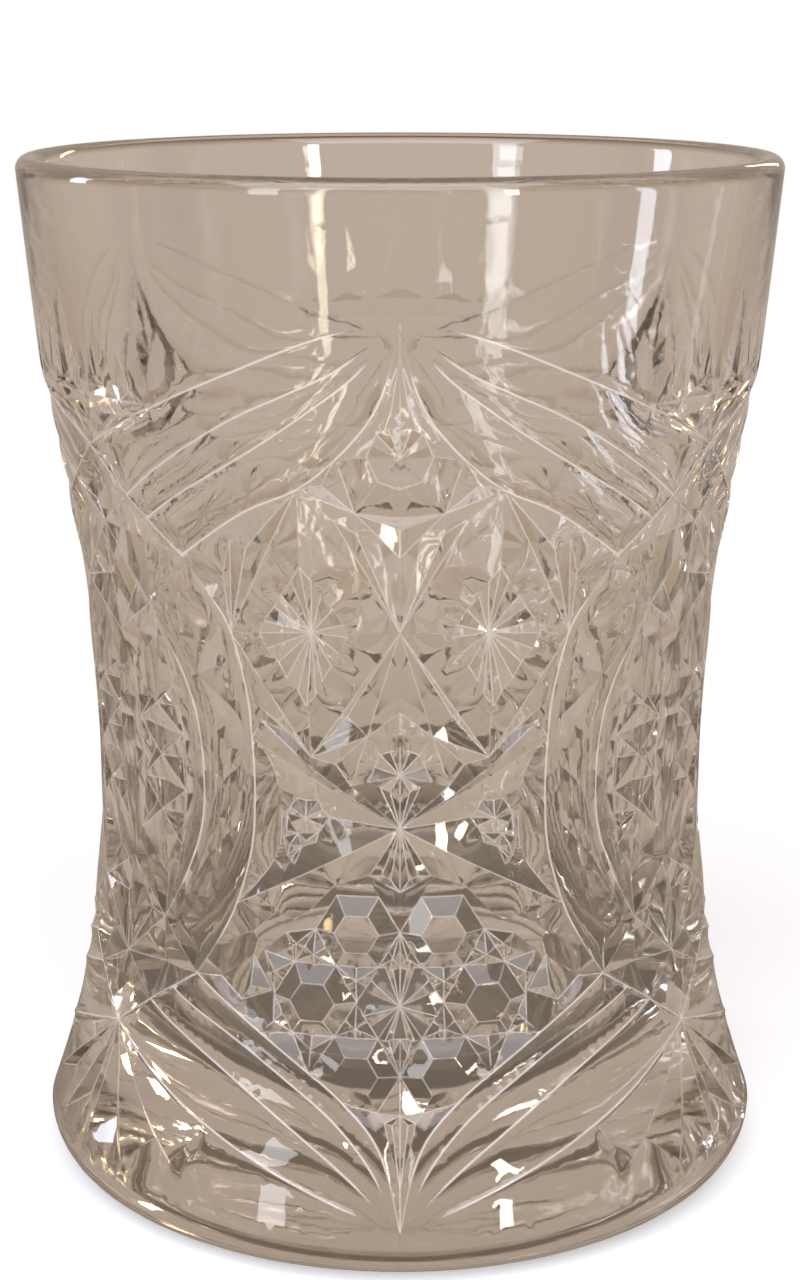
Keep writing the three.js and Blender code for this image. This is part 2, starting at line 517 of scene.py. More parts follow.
def oval_lines(relief):
    """The ridges that run down from the apex and the neighbour's ridges that cross them."""
    edge_a = curve([APEX, (11, 86.8), (24.5, 83.5), (36.6, 80.4), (47, 77.8), CROSS_A])
    edge_b = curve([APEX, (8.5, 84.2), (16.5, 81.8), (25, 79.4), (35, 76), MEET_B])
    edge_c = curve([APEX, (6, 83.8), (12.5, 80.7), (19, 78), (27, 75.1), (35.5, 72.3), MEET_C])
    top_d = [APEX, (0.8, 85.7), (2.2, 82.5), (4.6, 79.6), (9.3, 76.4), KITE_TOP, (24.5, 71.1)]
    edge_d = curve([*top_d, MEET_D], 4)
    low_a = curve([LOW_APEX, (11, 8), (24.5, 11), (36, 13.6), (47, 15.8), LOW_CROSS_A])
    low_b = curve([LOW_APEX, (7, 9.6), (14.5, 12.9), (25, 16.6), (36, 19.6), LOW_MEET_B])
    low_c = curve([LOW_APEX, (4.6, 11), (11, 15.2), (20, 18.7), (30, 21.6), LOW_MEET_C])
    foot_d = [LOW_APEX, (1.7, 10.2), (4.4, 13.8), (9.5, 16.9), (15, 19.2), (24, 22.3), LOW_MEET_D]
    low_d = curve(foot_d, 4)
    edges = (edge_a, edge_b, edge_c, edge_d, low_a, low_b, low_c, low_d)
    for ridge in edges:
        relief.line(ridge, RIDGE)

    over = curve([CROSS_A, MEET_B, MEET_C, MEET_D], 3)
    relief.line(over, RIDGE)
    side = [MEET_D, (31.6, 62.7), KITE_SIDE, (26.3, 54), ARM_TOP, (25.7, 45.5), (26.5, 39.6)]
    side_a = curve([*side, ARM_FOOT, (33, 30.2), LOW_MEET_D], 4)
    relief.line(side_a, RIDGE)
    under = curve([LOW_MEET_D, LOW_MEET_C, LOW_MEET_B, LOW_CROSS_A], 3)
    relief.line(under, RIDGE)

    inner = [HEEL, (41, 56.2), (37.5, 51.8), (36.4, 46.3), (37.2, 40.8), (41, 35.6), LOW_HEEL]
    outer = [HEEL, (43.3, 55), (41.4, 50), (41, 46), (41.5, 41.5), (43.5, 36.2), LOW_HEEL]
    side_b, side_c = curve(inner), curve(outer)
    rib = [CROSS_D, (57, 53.6), (55.6, 49.6), (55.3, 45.7), (55.6, 41.8), (57, 37.9), LOW_CROSS_D]
    lens = curve(rib, 3)
    relief.line(side_b, RIDGE)
    relief.line(side_c, SOFT_RIDGE)
    relief.line(lens, SOFT_RIDGE)
    for meet, heel in ((MEET_D, HEEL), (LOW_MEET_D, LOW_HEEL)):
        relief.line([meet, heel], RIDGE)

    bands = (
        (edge_a[:-4], edge_b, 26, 0.06, 6),
        (edge_b, edge_c, 26, 0.12, 6),
        (edge_c, edge_d, 26, 0.16, 7),
        (low_b, low_a[:-4], 26, 0.08, 6),
        (low_c, low_b, 26, 0.14, 6),
        (low_d, low_c, 26, 0.16, 6),
        (side_a, side_b, 30, 0.16, 8),
    )
    for upper, lower, count, sag, rows in bands:
        relief.flute(evenly(upper, count), evenly(lower, count), sag, rows)
    for ridge in (*edges, over, under):
        relief.beads(ridge, (APEX, LOW_APEX))
    for ridge in (side_a, side_b):
        relief.beads(ridge, (MEET_D, LOW_MEET_D, HEEL, LOW_HEEL))


def crossing(relief):
    """The facets where the ovals cross between two panels, above and below the waist."""
    tops = (
        (CROSS_A, MEET_B, CROSS_B, MEET_D, HEEL, CROSS_D, MEET_C),
        (LOW_CROSS_A, LOW_MEET_B, LOW_CROSS_B, LOW_MEET_D, LOW_HEEL, LOW_CROSS_D, LOW_MEET_C),
    )
    for top, meet_b, cross_b, meet_d, heel, cross_d, meet_c in tops:
        relief.line([meet_b, cross_b, heel, cross_d], SOFT_RIDGE)
        chord = (CELL_DEGREES, meet_b[1])
        relief.place(chord, VALLEY)
        relief.line([meet_b, chord])
        relief.facets([meet_b, top, chord], (55.5, (top[1] * 2 + meet_b[1]) / 3), 0.35)
        relief.facets([meet_b, cross_b, chord], (56.5, (cross_b[1] + meet_b[1]) / 2), 0.45)
        middle = (48.5, (meet_d[1] + cross_b[1]) / 2)
        relief.place(middle, VALLEY)
        relief.join([meet_d, middle, cross_b], [meet_c, middle, heel], [meet_b, middle])
        between = (54.5, (heel[1] + cross_b[1] + cross_d[1]) / 3)
        relief.facets([heel, cross_b, cross_d], between, VALLEY)


def side_lattice(relief):
    """The strip of crossed ridges and small points beside the lens-shaped rib."""
    left = [(42.6, 53.6), (41.2, 48.9), (41.25, 43.5), (42.75, 38)]
    right = [(57, 53.6), (55.55, 49), (55.5, 43.2), (57, 37.9)]
    crosses = [(48.5, 51.2), (48.1, 46.2), (48.5, 40.8)]
    for i, cross in enumerate(crosses):
        relief.place(cross, 0.05)
        corners = [left[i], right[i], right[i + 1], left[i + 1]]
        for corner in corners:
            relief.line([corner, cross], SOFT_RIDGE)
        relief.facets([left[i], cross, left[i + 1]], (43.8, cross[1]), VALLEY)
        relief.facets([right[i], cross, right[i + 1]], (53, cross[1]), VALLEY)
        if i:
            above = crosses[i - 1]
            middle = (48.3, (cross[1] + above[1]) / 2)
            relief.place(middle, 0.7)
            relief.join(*([middle, corner] for corner in (above, cross, left[i], right[i])))
    for heel, end, cross in ((HEEL, 0, crosses[0]), (LOW_HEEL, -1, crosses[-1])):
        middle = (48.8, (heel[1] * 2 + cross[1]) / 3)
        relief.place(middle, VALLEY)
        relief.join(*([middle, corner] for corner in (heel, left[end], cross, right[end])))
    for z in spread(51.4, 41.2, 6):
        relief.place((39.1 + abs(z - 46.3) * 0.12, z), 0.55)


def rayed_spear(relief):
    """The narrow gothic point under the apex and the small rayed button below it."""
    star_rim = [(0, 79.4), (3.4, 78.6), (5, 76.5), (3.4, 74.3), (0, 73.6)]
    star = (0, 76.5)
    relief.place(star, 0.3)
    ends = []
    for start, end in zip(star_rim, star_rim[1:]):
        ends.append((start, 0.55))
        ends.append((((start[0] + end[0]) / 2, (start[1] + end[1]) / 2), VALLEY))
    ends.append((star_rim[-1], 0.55))
    relief.settle(dict(ends))
    relief.join([at for at, _ in ends], *([star, at] for at, _ in ends))
    relief.place((0, 85.4), 0.35)
    relief.line([APEX, (0, 85.4), (0, 79.4)])
    relief.place((1.35, 80.2), VALLEY)
    relief.line([(0, 85.4), (1.35, 80.2), (0, 79.4)])
    relief.place((2.7, 80.0), 0.45)
    relief.join([(0, 85.4), (2.7, 80.0), (3.4, 78.6)], [(4.6, 79.6), (3.4, 78.6)])
    relief.line([(9.3, 76.4), (5, 76.5)])


def hourglass(relief):
    """The hourglass on the panel's middle: its rays, its waist and the small facets over it."""
    shoulder, corner = (6.8, 71.6), (12, 73.9)
    upper = (0, 67.6)
    relief.settle({
        shoulder: SOFT_RIDGE, corner: 0.75, upper: 0.15, HUB: 0.1, (0, 71.2): 0.2, (0, 70.0): 0.9,
    })
    relief.join([(9.3, 76.4), shoulder], [(9.3, 76.4), corner, shoulder])
    relief.line([corner, KITE_TOP, shoulder])
    relief.line([(0, 73.6), (0, 71.2)], creased=False)
    relief.join([(0, 71.2), shoulder], [(5, 76.5), shoulder], [(3.4, 74.3), shoulder])
    relief.join([shoulder, upper, (0, 70.0), (0, 71.2)], [shoulder, (0, 70.0)])
    relief.line([upper, HUB], SOFT_RIDGE)
    relief.line([KITE_TOP, HUB], SOFT_RIDGE)
    relief.rays({(3.4, 69.6): 0.35, (6.9, 69.6): VALLEY, (10.2, 70.9): 0.3}, after=[HUB])
    relief.line([upper, (3.4, 69.6), shoulder, (6.9, 69.6), (10.2, 70.9), KITE_TOP])
    relief.line([shoulder, (10.2, 70.9)])

    waist, peak = (5.5, 51), (0, 53.2)
    relief.settle({waist: SOFT_RIDGE, peak: 0.4, (0, 51): VALLEY})
    relief.line([HUB, KITE_FOOT], RIDGE)
    relief.line([HUB, waist], SOFT_RIDGE)
    relief.join([HUB, peak, (0, 51), waist], [peak, waist], [waist, KITE_FOOT])
    relief.place((9, 52.6), VALLEY)
    relief.join([HUB, (9, 52.6), KITE_FOOT], [(9, 52.6), waist])


def kite(relief):
    """The kite beside the hourglass, with its rayed lozenge, and the thin leaf outside it."""
    top, inner, outer, foot = (16.2, 66.3), (8.2, 60.5), (24.3, 59.9), (15.8, 53.3)
    relief.pin((top, inner, outer, foot), 0.8)
    relief.line([KITE_TOP, KITE_SIDE, KITE_FOOT], SOFT_RIDGE)
    relief.join([KITE_TOP, top], [KITE_SIDE, outer], [KITE_FOOT, foot], [HUB, inner])
    relief.daisy((14.4, 60.5), [top, outer, foot, inner], 10, 0.35, 0.55, 1.0)
    shelf = (25.4, 67.6)
    relief.place(shelf, 0.85)
    relief.line([KITE_TOP, shelf, KITE_SIDE])
    relief.place((27.4, 68.4), SOFT_RIDGE)
    relief.line([shelf, (27.4, 68.4), KITE_SIDE])
    relief.place((30, 65), 0.75)
    relief.join([(27.4, 68.4), (30, 65), KITE_SIDE], [(30, 65), (31.6, 62.7)])


def large_cross(relief):
    """The large X: its blades, the half star in its upper angle and the rays under it."""
    relief.place(X_HUB, RIDGE)
    elbow, knee, tip = (11.1, 48.1), (8.4, 46.2), (23.9, 51.9)
    relief.settle({elbow: 0.6, knee: 0.35, tip: RIDGE, KITE_FOOT: SOFT_RIDGE})
    blade = [X_HUB, (8, 45.05), (15.3, 47.9), tip]
    relief.pin(blade[1:-1], RIDGE)
    relief.line(blade, RIDGE)
    relief.line([X_HUB, ARM_TOP], 0.1)
    relief.line([tip, ARM_TOP], RIDGE)
    relief.line([X_HUB, knee, elbow, KITE_FOOT])
    relief.place((19, 50.6), 0.7)
    relief.line([KITE_FOOT, (19, 50.6), tip])
    relief.line([KITE_FOOT, (15.3, 47.9)], 0.4)
    relief.join([elbow, (15.3, 47.9)], [(5.5, 51), elbow], [(5.5, 51), knee])
    relief.line([(19, 50.6), (26.3, 54)], 0.6)

    star, right, shoulder, top = (0, 47.3), (5.4, 46.6), (3.3, 49.2), (0, 49.6)
    relief.place(star, 0.3)
    points = (right, (4.4, 47.9), shoulder, (1.7, 49.4), top)
    relief.rays(dict(zip(points, (0.45, VALLEY, 0.45, VALLEY, 0.45))), [star])
    relief.line(points)
    relief.join([top, (0, 51)], [shoulder, (5.5, 51)], [right, knee])
    relief.rays({(1.7, 45.6): 0.9, (3.4, 46.1): 0.4}, [X_HUB], [star])
    relief.join([star, X_HUB], [X_HUB, right, (3.4, 46.1), (1.7, 45.6)])

    relief.line([X_HUB, ARM_FOOT], RIDGE)
    relief.place((0, 36.2), 0.5)
    relief.rays({(1.6, 37.2): VALLEY, (3.2, 37.8): 0.4, (5.4, 37.6): 0.9}, [X_HUB])
    relief.line([X_HUB, (0, 36.2), (1.6, 37.2), (3.2, 37.8), (5.4, 37.6)])


def hobnails(relief):
    """The sunk side of the large X: its crease, its curved outer strip and its small points."""
    strip = curve([ARM_TOP, (22.6, 47.2), (21.3, 43.2), (22.4, 38.8), ARM_FOOT], 4)
    relief.pin(strip[1:-1], 0.75)
    relief.line(strip, 0.75)

    centre, radius, rise = (16.6, 42.9), 4.0, 1.75
    flower = []
    for i in range(12):
        turn = math.radians(30 * i)
        reach = 1.0 if i % 2 == 0 else 0.87
        across, up = radius * reach * math.cos(turn), rise * reach * math.sin(turn)
        flower.append((centre[0] + across, centre[1] + up))
        relief.place(flower[-1], 1.15 if i % 2 == 0 else 0.75)
    relief.place(centre, 0.25)
    relief.join([*flower, flower[0]], *([centre, at] for at in flower))
    points = [
        [(20.6, 42.9), (18.6, 41.1), (21.3, 40.6)],
        [(18.6, 41.1), (21.3, 40.6), (20.6, 38.9), (17.8, 39.9)],
        [(18.6, 41.1), (17.8, 39.9), (15.2, 40.4), (14.6, 41.4)],
        [(20.6, 38.9), (17.8, 39.9), (19.2, 38.1)],
    ]
    for corners in points:
        relief.ring(corners, 1.1)
        relief.facets(corners, centroid(corners), 0.3)
    relief.line([X_HUB, (12.6, 42.9)], 1.15)


STAR_HEX = (0, 25.7)
HEX_STEP = 7.5  # half the distance between two hexagons, degrees
HEX_RISE = 3.3  # half the distance between two rows of hexagons, mm
TABLE = 0.1  # depth of a button's flat top


def button_lattice(relief):
    """The shield's lattice: hexagonal buttons with flat tables between rayed triangles."""
    roof = [(0, 36.2), (5.4, 37.6), (11.5, 36.6), (16.5, 33.8)]
    roof += [(19, 33), (22.5, 33.4), (27, 31.2), (33, 30.2)]
    relief.pin(roof[1:-1], VALLEY)
    relief.line(roof)
    for a, z in ((7.5, 32.3), (15, 25.7)):
        ring = hexagon(a, z)
        relief.ring(ring, VALLEY)
        table = [blend((a, z), corner, 0.52) for corner in ring]
        relief.ring(table, TABLE)
        relief.join(*zip(ring, table))
    low = [(0, 19), (3.75, 22.4), (11.25, 22.4), (15, 19.2), (9.5, 16.9), (3.75, 15.7)]
    table = [(3.6, 19.2), (5.4, 20.9), (9.1, 20.9), (11, 19.2), (8.4, 18.1), (5.2, 17.6)]
    relief.pin(low, VALLEY)
    relief.pin(table, TABLE)
    relief.join([*low, low[0]], [*table, table[0]], *zip(low, table))

    star_ring = [(0, 29), (3.75, 29), (7.5, 25.7), (3.75, 22.4), (0, 22.4)]
    relief.place(STAR_HEX, 0.25)
    relief.pin(star_ring, VALLEY)
    rim = []
    for start, end in zip(star_ring, star_ring[1:]):
        rim.append(start)
        for share, depth in ((1 / 3, 0.45), (2 / 3, VALLEY)):
            rim.append(blend(start, end, share))
            relief.place(rim[-1], depth)
    rim.append(star_ring[-1])
    relief.join(rim, *([STAR_HEX, at] for at in rim))

    triangles = [
        [(0, 32.3), (3.75, 29), (0, 29)],
        [(3.75, 29), (11.25, 29), (7.5, 25.7)],
        [(15, 32.3), (11.25, 29), (18.75, 29)],
        [(7.5, 25.7), (3.75, 22.4), (11.25, 22.4)],
        [(0, 19), (0, 22.4), (3.75, 22.4)],
        [(11.25, 22.4), (18.75, 22.4), (15, 19.2)],
        [(18.75, 29), (22.5, 25.7), (24.6, 29.6)],
        [(18.75, 22.4), (22.5, 25.7), (24, 22.3)],
        [(15, 32.3), (18.75, 29), (20.5, 31.6)],
    ]
    for corners in triangles:
        relief.ring(corners, VALLEY)
        centre = centroid(corners)
        relief.facets(corners, centre, 0.2)
        for (a, z), (b, y) in zip(corners, [*corners[1:], corners[0]]):
            middle = ((a + b) / 2, (z + y) / 2)
            if middle not in corners:
                relief.line([centre, middle], 0.6)
    relief.join(
        [(20.5, 31.6), (24.6, 29.6), (27, 31.2)],
        [(20.5, 31.6), (22.5, 33.4)],
        [(15, 32.3), (16.5, 33.8)],
        [(3.75, 35.6), (0, 36.2)],
        [(3.75, 35.6), (5.4, 37.6)],
        [(11.25, 35.6), (11.5, 36.6)],
    )

    point = [(26.8, 29), (22.9, 26), (28.8, 24.6)]
    relief.ring(point, 1.0)
    relief.facets(point, (26.3, 26.4), 0.05)
    relief.line([(28.8, 24.6), (33, 26.5), LOW_MEET_D], 0.7)
    relief.line([(26.8, 29), (33, 26.5)], 0.7)

    relief.place((0, 15.7), 0.4)
    relief.line([(0, 19), (0, 15.7), (3.75, 15.7)])
    relief.line([(0, 15.7), (0, 9.2), LOW_APEX], 0.4)
    relief.rays({(1.3, 14.6): VALLEY, (2.5, 15): 0.35}, [(0, 15.7)], [(0, 9.2)])
    relief.line([(1.3, 14.6), (2.5, 15), (3.75, 15.7)])


def hexagon(a, z):
    """The six corners round a button's middle."""
    half, rise = HEX_STEP / 2, HEX_RISE
    return [
        (a - HEX_STEP, z), (a - half, z + rise), (a + half, z + rise),
        (a + HEX_STEP, z), (a + half, z - rise), (a - half, z - rise),
    ]


def fans(relief):
    """The ledge and leaves over the upper crossing, and the petals under the lower one."""
    ledge = [(38.2, 80.0), (42, 80.0), (46, 80.0), (53.5, 80.0), (60, 80.0)]
    relief.pin(ledge, RIDGE)
    relief.line(ledge, RIDGE)
    under = [(42, 78.7), (46, 78.5), (49.8, 78.4), (53.5, 78.4), (57, 78.4), (60, 78.4)]
    for i, at in enumerate(under):
        relief.place(at, 0.5 if i % 2 else 0.35)
    relief.line([(38.2, 80.0), *under])
    relief.join(*([at, CROSS_A] for at in under[1:]))
    leaves = [((42, 80.0), (45.3, 84.8), (45.3, 80.0)), ((46, 80.0), (49.8, 88), (53.5, 80.0))]
    for left, tip, right in leaves:
        middle = ((left[0] + right[0]) / 2, 80.9)
        relief.settle({tip: RIDGE, middle: 0.55})
        relief.line([left, tip, right], RIDGE)
        relief.join([tip, middle], [left, middle, right])
    relief.settle({(60, 90): RIDGE, (60, 81): 0.55})
    relief.line([(55, 80.0), (60, 90)], RIDGE)
    relief.line([(60, 90), (60, 81), (55, 80.0)])

    petals = [((60, 6.9), (54.7, 9.4)), ((49, 6.7), (43.6, 9.6)), ((38, 8.4), (34, 12.2))]
    for tip, notch in petals:
        relief.settle({tip: RIDGE, notch: 0.85})
    for tip, notch in petals:
        relief.line([LOW_CROSS_A, tip], SOFT_RIDGE)
        relief.line([LOW_CROSS_A, notch])
    chain = [petals[0][0], petals[0][1], petals[1][0], petals[1][1], petals[2][0]]
    relief.join(chain, petals[2])


def draw_relief():
    """The whole half panel."""
    relief = Relief()
    for draw in (
        oval_lines, kite, hourglass, rayed_spear, large_cross,
        hobnails, button_lattice, crossing, side_lattice, fans,
    ):
        draw(relief)
    return relief


def share_of(value, first, last):
    """How far a value has come from first to last, from 0 to 1."""
    return min(1.0, max(0.0, (value - first) / (last - first)))


def sink(a, z):
    """How far the wall lies below the turned shape between two panels, in mm."""
    across = share_of(a, 34, CELL_DEGREES)
    across = across * across * (3 - 2 * across)
    return PANEL_SINK * across * share_of(z, 80.0, 77.0) * share_of(z, 6.5, 15.5)


def fade(z):
    """The share of its depth that the pattern keeps where it runs up into the plain rim band."""
    up = share_of(z, 77.0, 84.0)
    return 1.0 - 0.75 * up * up * (3 - 2 * up)


# ---- glass body


def half_panel_mesh(sizes):
    """One sixth of the tumbler, from the underside's centre round to the centre of the cup."""
    profile = Profile(sizes)
    low, high = profile.foot_swell, RELIEF_TOP
    relief = draw_relief()
    points, triangles, depths, creases = relief.triangulate(low, high)

    verts, faces = [], []

    def on_wall(radius, degrees, z):
        turn = math.radians(degrees)
        verts.append((radius * math.sin(turn) * MM, -radius * math.cos(turn) * MM, z * MM))
        return len(verts) - 1

    number = []
    for point, depth in zip(points, depths):
        a, z = min(CELL_DEGREES, max(0.0, point.x / WALL_WIDTH)), point.y
        deep = depth * sizes.relief * fade(z) + sink(a, z)
        number.append(on_wall(profile.outside(z) - deep, a, z))
    faces += [tuple(number[i] for i in triangle) for triangle in triangles]
    sharp = {tuple(sorted((number[a], number[b]))) for a, b in creases}

    def edge_row(z):
        row = {}
        for i, point in enumerate(points):
            column = point.x / WALL_WIDTH / CELL_DEGREES * CELL_COLUMNS
            if abs(point.y - z) < 1e-4 and abs(column - round(column)) < 1e-3:
                row[round(column)] = number[i]
        return [row[i] for i in range(CELL_COLUMNS + 1)]

    def plain_row(radius, z):
        if radius < 1e-6:
            return [on_wall(0.0, 0.0, z)] * (CELL_COLUMNS + 1)
        return [on_wall(radius, CELL_DEGREES * i / CELL_COLUMNS, z) for i in range(CELL_COLUMNS + 1)]

    def join(under, over):
        for i in range(CELL_COLUMNS):
            corners = [under[i], under[i + 1], over[i + 1], over[i]]
            ring = [c for k, c in enumerate(corners) if c != corners[k - 1]]
            faces.append(tuple(ring))

    below = [plain_row(*row) for row in profile.rows_below()[:-1]]
    for under, over in zip(below, [*below[1:], edge_row(low)]):
        join(under, over)
    above = [plain_row(*row) for row in profile.rows_above(high)[1:]]
    for under, over in zip([edge_row(high), *above], above):
        join(under, over)

    mesh = bpy.data.meshes.new("half_panel")
    mesh.from_pydata(verts, [], faces)
    # the bead tops get a painted highlight: the material turns the glass there partly pale and matt
    highlight_layer = mesh.attributes.new("painted_bead_highlight", "FLOAT", "POINT")
    for i in {end for edge in creases for end in edge}:
        highlight_layer.data[number[i]].value = relief.brightness(points[i])
    mesh.shade_smooth()
    for edge in mesh.edges:
        edge.use_edge_sharp = tuple(sorted(edge.vertices)) in sharp
    return mesh


def panels_tree():
    """Geometry Nodes: mirror the half panel, turn the pair round the axis and weld the seams."""
    tree = bpy.data.node_groups.new("Panels round the body", "GeometryNodeTree")
    face = tree.interface
    face.new_socket("Half panel", in_out="INPUT", socket_type="NodeSocketGeometry")
    count = face.new_socket("Panels", in_out="INPUT", socket_type="NodeSocketInt")
    count.default_value = PANELS
    weld = face.new_socket("Weld distance", in_out="INPUT", socket_type="NodeSocketFloat")
    weld.default_value = WELD
    face.new_socket("Glass", in_out="INPUT", socket_type="NodeSocketMaterial")
    face.new_socket("Body", in_out="OUTPUT", socket_type="NodeSocketGeometry")

    given = node(tree, "NodeGroupInput")
    half = given.outputs["Half panel"]
    mirrored = node(tree, "GeometryNodeTransform", Geometry=half, Scale=(-1, 1, 1))
    flipped = node(tree, "GeometryNodeFlipFaces", Mesh=mirrored.outputs[0])
    panel = node(tree, "GeometryNodeJoinGeometry", Geometry=flipped.outputs[0])
    tree.links.new(half, panel.inputs["Geometry"])
    points = node(tree, "GeometryNodePoints", Count=given.outputs["Panels"])
    index = node(tree, "GeometryNodeInputIndex")
    halves = {"0": index.outputs[0], "1": given.outputs["Panels"]}
    share = node(tree, "ShaderNodeMath", {"operation": "DIVIDE"}, **halves)
    whole = {"0": share.outputs[0], "1": math.tau}
    turn = node(tree, "ShaderNodeMath", {"operation": "MULTIPLY"}, **whole)
    axis = node(tree, "ShaderNodeCombineXYZ", Z=turn.outputs[0])
    copies = node(
        tree,
        "GeometryNodeInstanceOnPoints",
        Points=points.outputs[0],
        Instance=panel.outputs[0],
        Rotation=axis.outputs[0],
    )
    real = node(tree, "GeometryNodeRealizeInstances", Geometry=copies.outputs[0])
    reach = given.outputs["Weld distance"]
    welded = node(tree, "GeometryNodeMergeByDistance", Geometry=real.outputs[0], Distance=reach)
    dressed = node(
        tree, "GeometryNodeSetMaterial", Geometry=welded.outputs[0], Material=given.outputs["Glass"]
    )
    node(tree, "NodeGroupOutput", Body=dressed.outputs[0])
    return tree


def node(tree, kind, settings=None, **inputs):
    """Adds a node, sets its properties and gives named or numbered inputs their values or links."""
    made = tree.nodes.new(kind)
    for name, value in (settings or {}).items():
        setattr(made, name, value)
    for name, value in inputs.items():
        socket = made.inputs[int(name) if name.isdigit() else name.replace("_", " ")]
        if isinstance(value, bpy.types.NodeSocket):
            tree.links.new(value, socket)
        else:
            socket.default_value = value
    return made


def remap(tree, value, low, high, first, last):
    """A node that takes the range from low to high to the range from first to last."""
    ends = {"From_Min": low, "From_Max": high, "To_Min": first, "To_Max": last}
    return node(tree, "ShaderNodeMapRange", Value=value, **ends).outputs[0]


def emptied(owner):
    """The node tree of a material or world, with nothing in it."""
    owner.use_nodes = True
    owner.node_tree.nodes.clear()
    return owner.node_tree


# ---- materials


def linear(hex_colour):
    """An sRGB hex colour as linear RGBA."""
    parts = [int(hex_colour[i : i + 2], 16) / 255 for i in (1, 3, 5)]
    return (*[c / 12.92 if c <= 0.04045 else ((c + 0.055) / 1.055) ** 2.4 for c in parts], 1.0)


def pressed_soda_lime_glass(look):
    """Fire-polished pressed soda-lime glass: clear, sharp at its edges and slightly wavy, with faint
    chill marks from the mould, so highlights break up a little. Edges and the tops of the beads carry
    a painted highlight: there the glass turns partly pale and matt, so they show as fine pale lines."""
    material = bpy.data.materials.new("pressed_soda_lime_glass")
    tree = emptied(material)
    place = node(tree, "ShaderNodeTexCoord").outputs["Object"]
    # waves of about 9 mm from the plunger, and chill marks of about 1.2 mm
    waves = node(
        tree, "ShaderNodeTexNoise", Vector=place, Scale=1 / (9 * MM), Detail=1.0, Roughness=0.4
    )
    chill = node(
        tree, "ShaderNodeTexNoise", Vector=place, Scale=1 / (1.2 * MM), Detail=3.0, Roughness=0.6
    )
    edges = node(tree, "ShaderNodeBevel", {"samples": 4}, Radius=0.22 * MM)
    normal = edges.outputs[0]
    for pattern, strength, height in ((waves, 0.16, 0.25 * MM), (chill, 0.12, 0.03 * MM)):
        normal = node(
            tree,
            "ShaderNodeBump",
            Strength=strength,
            Distance=height,
            Height=pattern.outputs["Fac"],
            Normal=normal,
        ).outputs[0]
    haze = remap(tree, chill.outputs["Fac"], 0.45, 0.85, 0.004, 0.02)
    # painted highlight: at an edge the rounded normal leaves the flat one, and there, as on the bead
    # tops, the glass is partly pale matt instead of clear
    flat = node(tree, "ShaderNodeNewGeometry")
    both = {"0": edges.outputs[0], "1": flat.outputs["Normal"]}
    agree = node(tree, "ShaderNodeVectorMath", {"operation": "DOT_PRODUCT"}, **both)
    bead = node(tree, "ShaderNodeAttribute", {"attribute_name": "painted_bead_highlight"})
    clear = {
        "0": remap(tree, agree.outputs["Value"], 0.965, 0.998, 0.56, 1.0),
        "1": remap(tree, bead.outputs["Fac"], 0.6, 0.95, 1.0, 0.55),
    }
    least = node(tree, "ShaderNodeMath", {"operation": "MINIMUM"}, **clear)
    shader = node(
        tree,
        "ShaderNodeBsdfPrincipled",
        Base_Color=linear(look.glass_colour),
        Roughness=haze,
        Normal=normal,
        IOR=1.52,
        Transmission_Weight=least.outputs[0],
    )
    depth = node(tree, "ShaderNodeVolumeAbsorption", Color=linear("#d8cfc1"), Density=9.0)
    node(tree, "ShaderNodeOutputMaterial", Surface=shader.outputs[0], Volume=depth.outputs[0])
    return material


def matt_paper(look):
    """Pale seamless studio paper: matt, with a barely seen fibre mottle. To the glass's rays it is
    instead a warm table with a painted glow, which is dimmer close to the tumbler as a painted
    shadow."""
    material = bpy.data.materials.new("pale_studio_paper")
    tree = emptied(material)
    place = node(tree, "ShaderNodeTexCoord").outputs["Object"]
    # fibres of about 4 mm, far coarser than real ones, so that they show
    fibre = node(tree, "ShaderNodeTexNoise", Vector=place, Scale=1 / (4 * MM), Detail=4.0)
    bump = node(
        tree, "ShaderNodeBump", Strength=0.05, Distance=0.05 * MM, Height=fibre.outputs["Fac"]
    )
    pale = node(
        tree,
        "ShaderNodeBsdfPrincipled",
        Base_Color=linear(look.floor_colour),
        Roughness=0.9,
        Normal=bump.outputs[0],
        Emission_Color=linear("#eef1f6"),
        Emission_Strength=0.3,
    )
    out = node(tree, "ShaderNodeVectorMath", {"operation": "LENGTH"}, **{"0": place})
    # painted light and shadow: for the glass the floor glows, and the glow fades within 85 mm of the
    # axis
    painted_glow = remap(tree, out.outputs["Value"], 50 * MM, 85 * MM, 0.28, 1.0)
    dim = node(
        tree,
        "ShaderNodeBsdfPrincipled",
        Base_Color=linear("#5d5245"),
        Roughness=0.9,
        Emission_Color=linear("#9f9388"),
        Emission_Strength=painted_glow,
    )
    seen = node(tree, "ShaderNodeLightPath").outputs["Is Camera Ray"]
    mix = node(tree, "ShaderNodeMixShader", Fac=seen, **{"1": dim.outputs[0], "2": pale.outputs[0]})
    node(tree, "ShaderNodeOutputMaterial", Surface=mix.outputs[0])
    return material


# ---- stage


